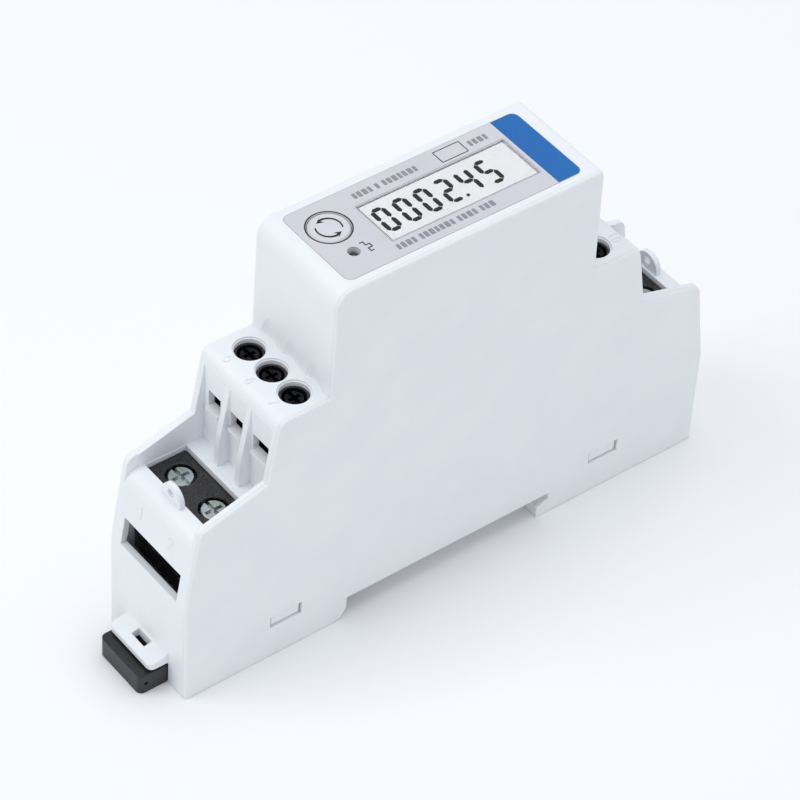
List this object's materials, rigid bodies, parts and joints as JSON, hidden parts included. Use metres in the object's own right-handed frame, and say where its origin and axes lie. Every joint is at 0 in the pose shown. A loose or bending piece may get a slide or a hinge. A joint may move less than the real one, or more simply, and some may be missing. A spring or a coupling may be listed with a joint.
{
  "type": "rail-mounted electricity meter",
  "caption": "One-module electricity meter for a 35 mm rail, with a segment display, a push button, screw terminals at both ends and a sliding rail clip.",
  "frame": {"origin": "middle of the face that rests on the rail", "axes": "+X across the module towards the flat side cover, +Y along the module away from the sliding clip, +Z away from the rail towards the display"},
  "size_m": [0.018, 0.0946, 0.062],
  "materials": {
    "white_abs": "fine spark-eroded texture",
    "black_nylon": "moulded, slightly satin",
    "black_block": "moulded, satin",
    "printed_film": "satin printed film",
    "clear_polycarbonate": "clear, polished",
    "white_button": "satin",
    "black_switch_plastic": "moulded",
    "red_lamp_epoxy": "clear tinted epoxy",
    "display_glass": "grey-green segment display",
    "light_panel_acrylic": "frosted",
    "zebra_rubber": "layered conductive silicone",
    "green_board": "solder resist on glass epoxy",
    "gold_pins": "flash plated",
    "zinc_screw": "bright zinc, blue passivated",
    "black_screw": "black passivated zinc",
    "zinc_cage": "bright zinc",
    "tinned_copper": "tin over copper",
    "sensor_case": "potted plastic case",
    "lead_wire": "bare copper wire",
    "yellow_capacitor": "boxed film capacitor",
    "capacitor_sleeve": "shrunk sleeve",
    "blue_varistor": "dipped epoxy",
    "black_epoxy": "transfer moulded epoxy",
    "resistor_coating": "flameproof lacquer",
    "crystal_can": "nickel plated can"
  },
  "bodies": {
    "meter_body": {"main_housing": "white_abs", "side_cover": "white_abs", "front_label": "printed_film", "display_window": "clear_polycarbonate", "tact_switch": "black_switch_plastic", "pulse_led": "red_lamp_epoxy", "lcd_panel": "display_glass", "lcd_backlight": "light_panel_acrylic", "lcd_frame": "black_switch_plastic", "elastomer_strips": "zebra_rubber", "display_board": "green_board", "main_board": "green_board", "header_pins": "gold_pins", "header_spacers": "black_switch_plastic", "near_terminal_block": "black_block", "far_terminal_block": "black_block", "near_signal_block": "black_block", "far_signal_block": "black_block", "near_signal_contacts": "tinned_copper", "far_signal_contacts": "tinned_copper", "line_conductor": "tinned_copper", "neutral_bar": "tinned_copper", "current_transformer": "sensor_case", "transformer_leads": "lead_wire", "sense_leads": "lead_wire", "film_capacitor": "yellow_capacitor", "electrolytic_capacitor": "capacitor_sleeve", "varistor": "blue_varistor", "bridge_rectifier": "black_epoxy", "fusible_resistor": "resistor_coating", "metering_chip": "black_epoxy", "crystal": "crystal_can", "bus_transceiver": "black_epoxy", "optocouplers": "black_epoxy"},
    "din_clip": {"din_clip": "black_nylon"},
    "scroll_button": {"scroll_button": "white_button", "tact_plunger": "black_switch_plastic"},
    "terminal_screw_1": {"terminal_screw_1": "zinc_screw"},
    "clamp_cage_1": {"clamp_cage_1": "zinc_cage"},
    "terminal_screw_2": {"terminal_screw_2": "zinc_screw"},
    "clamp_cage_2": {"clamp_cage_2": "zinc_cage"},
    "terminal_screw_3": {"terminal_screw_3": "zinc_screw"},
    "clamp_cage_3": {"clamp_cage_3": "zinc_cage"},
    "terminal_screw_4": {"terminal_screw_4": "zinc_screw"},
    "clamp_cage_4": {"clamp_cage_4": "zinc_cage"},
    "signal_screw_5": {"signal_screw_5": "black_screw"},
    "signal_cage_5": {"signal_cage_5": "zinc_cage"},
    "signal_screw_6": {"signal_screw_6": "black_screw"},
    "signal_cage_6": {"signal_cage_6": "zinc_cage"},
    "signal_screw_7": {"signal_screw_7": "black_screw"},
    "signal_cage_7": {"signal_cage_7": "zinc_cage"},
    "signal_screw_8": {"signal_screw_8": "black_screw"},
    "signal_cage_8": {"signal_cage_8": "zinc_cage"},
    "signal_screw_9": {"signal_screw_9": "black_screw"},
    "signal_cage_9": {"signal_cage_9": "zinc_cage"},
    "signal_screw_10": {"signal_screw_10": "black_screw"},
    "signal_cage_10": {"signal_cage_10": "zinc_cage"}
  },
  "joints": [
    {"name": "din_clip_slide", "type": "slide", "parent": "meter_body", "child": "din_clip", "axis": [0, -1, 0], "range_m": [0, 0.003], "stiffness_N_per_m": 1500, "springref_m": -0.001},
    {"name": "scroll_button_press", "type": "slide", "parent": "meter_body", "child": "scroll_button", "axis": [0, 0, -1], "range_m": [0, 0.0003], "stiffness_N_per_m": 400, "springref_m": -0.001},
    {"name": "terminal_screw_1_turn", "type": "hinge", "parent": "meter_body", "child": "terminal_screw_1", "pos_m": [-0.0038, -0.0371, 0], "axis": [0, 0, -1], "range_deg": [0, 1985]},
    {"name": "clamp_cage_1_rise", "type": "slide", "parent": "meter_body", "child": "clamp_cage_1", "axis": [0, 0, 1], "range_m": [0, 0.00275]},
    {"name": "terminal_screw_2_turn", "type": "hinge", "parent": "meter_body", "child": "terminal_screw_2", "pos_m": [0.0038, -0.0371, 0], "axis": [0, 0, -1], "range_deg": [0, 1985]},
    {"name": "clamp_cage_2_rise", "type": "slide", "parent": "meter_body", "child": "clamp_cage_2", "axis": [0, 0, 1], "range_m": [0, 0.00275]},
    {"name": "terminal_screw_3_turn", "type": "hinge", "parent": "meter_body", "child": "terminal_screw_3", "pos_m": [-0.0038, 0.0371, 0], "axis": [0, 0, -1], "range_deg": [0, 1985]},
    {"name": "clamp_cage_3_rise", "type": "slide", "parent": "meter_body", "child": "clamp_cage_3", "axis": [0, 0, 1], "range_m": [0, 0.00275]},
    {"name": "terminal_screw_4_turn", "type": "hinge", "parent": "meter_body", "child": "terminal_screw_4", "pos_m": [0.0038, 0.0371, 0], "axis": [0, 0, -1], "range_deg": [0, 1985]},
    {"name": "clamp_cage_4_rise", "type": "slide", "parent": "meter_body", "child": "clamp_cage_4", "axis": [0, 0, 1], "range_m": [0, 0.00275]},
    {"name": "signal_screw_5_turn", "type": "hinge", "parent": "meter_body", "child": "signal_screw_5", "pos_m": [-0.005, -0.0254, 0], "axis": [0, 0, -1], "range_deg": [0, 1355]},
    {"name": "signal_cage_5_rise", "type": "slide", "parent": "meter_body", "child": "signal_cage_5", "axis": [0, 0, 1], "range_m": [0, 0.0015]},
    {"name": "signal_screw_6_turn", "type": "hinge", "parent": "meter_body", "child": "signal_screw_6", "pos_m": [0, -0.0254, 0], "axis": [0, 0, -1], "range_deg": [0, 1355]},
    {"name": "signal_cage_6_rise", "type": "slide", "parent": "meter_body", "child": "signal_cage_6", "axis": [0, 0, 1], "range_m": [0, 0.0015]},
    {"name": "signal_screw_7_turn", "type": "hinge", "parent": "meter_body", "child": "signal_screw_7", "pos_m": [0.005, -0.0254, 0], "axis": [0, 0, -1], "range_deg": [0, 1355]},
    {"name": "signal_cage_7_rise", "type": "slide", "parent": "meter_body", "child": "signal_cage_7", "axis": [0, 0, 1], "range_m": [0, 0.0015]},
    {"name": "signal_screw_8_turn", "type": "hinge", "parent": "meter_body", "child": "signal_screw_8", "pos_m": [-0.005, 0.0254, 0], "axis": [0, 0, -1], "range_deg": [0, 1355]},
    {"name": "signal_cage_8_rise", "type": "slide", "parent": "meter_body", "child": "signal_cage_8", "axis": [0, 0, 1], "range_m": [0, 0.0015]},
    {"name": "signal_screw_9_turn", "type": "hinge", "parent": "meter_body", "child": "signal_screw_9", "pos_m": [0, 0.0254, 0], "axis": [0, 0, -1], "range_deg": [0, 1355]},
    {"name": "signal_cage_9_rise", "type": "slide", "parent": "meter_body", "child": "signal_cage_9", "axis": [0, 0, 1], "range_m": [0, 0.0015]},
    {"name": "signal_screw_10_turn", "type": "hinge", "parent": "meter_body", "child": "signal_screw_10", "pos_m": [0.005, 0.0254, 0], "axis": [0, 0, -1], "range_deg": [0, 1355]},
    {"name": "signal_cage_10_rise", "type": "slide", "parent": "meter_body", "child": "signal_cage_10", "axis": [0, 0, 1], "range_m": [0, 0.0015]}
  ],
  "couplings": [
    {"joint": "terminal_screw_1_turn", "follows": "clamp_cage_1_rise", "rad_per_m": 12566},
    {"joint": "terminal_screw_2_turn", "follows": "clamp_cage_2_rise", "rad_per_m": 12566},
    {"joint": "terminal_screw_3_turn", "follows": "clamp_cage_3_rise", "rad_per_m": 12566},
    {"joint": "terminal_screw_4_turn", "follows": "clamp_cage_4_rise", "rad_per_m": 12566},
    {"joint": "signal_screw_5_turn", "follows": "signal_cage_5_rise", "rad_per_m": 15708},
    {"joint": "signal_screw_6_turn", "follows": "signal_cage_6_rise", "rad_per_m": 15708},
    {"joint": "signal_screw_7_turn", "follows": "signal_cage_7_rise", "rad_per_m": 15708},
    {"joint": "signal_screw_8_turn", "follows": "signal_cage_8_rise", "rad_per_m": 15708},
    {"joint": "signal_screw_9_turn", "follows": "signal_cage_9_rise", "rad_per_m": 15708},
    {"joint": "signal_screw_10_turn", "follows": "signal_cage_10_rise", "rad_per_m": 15708}
  ]
}
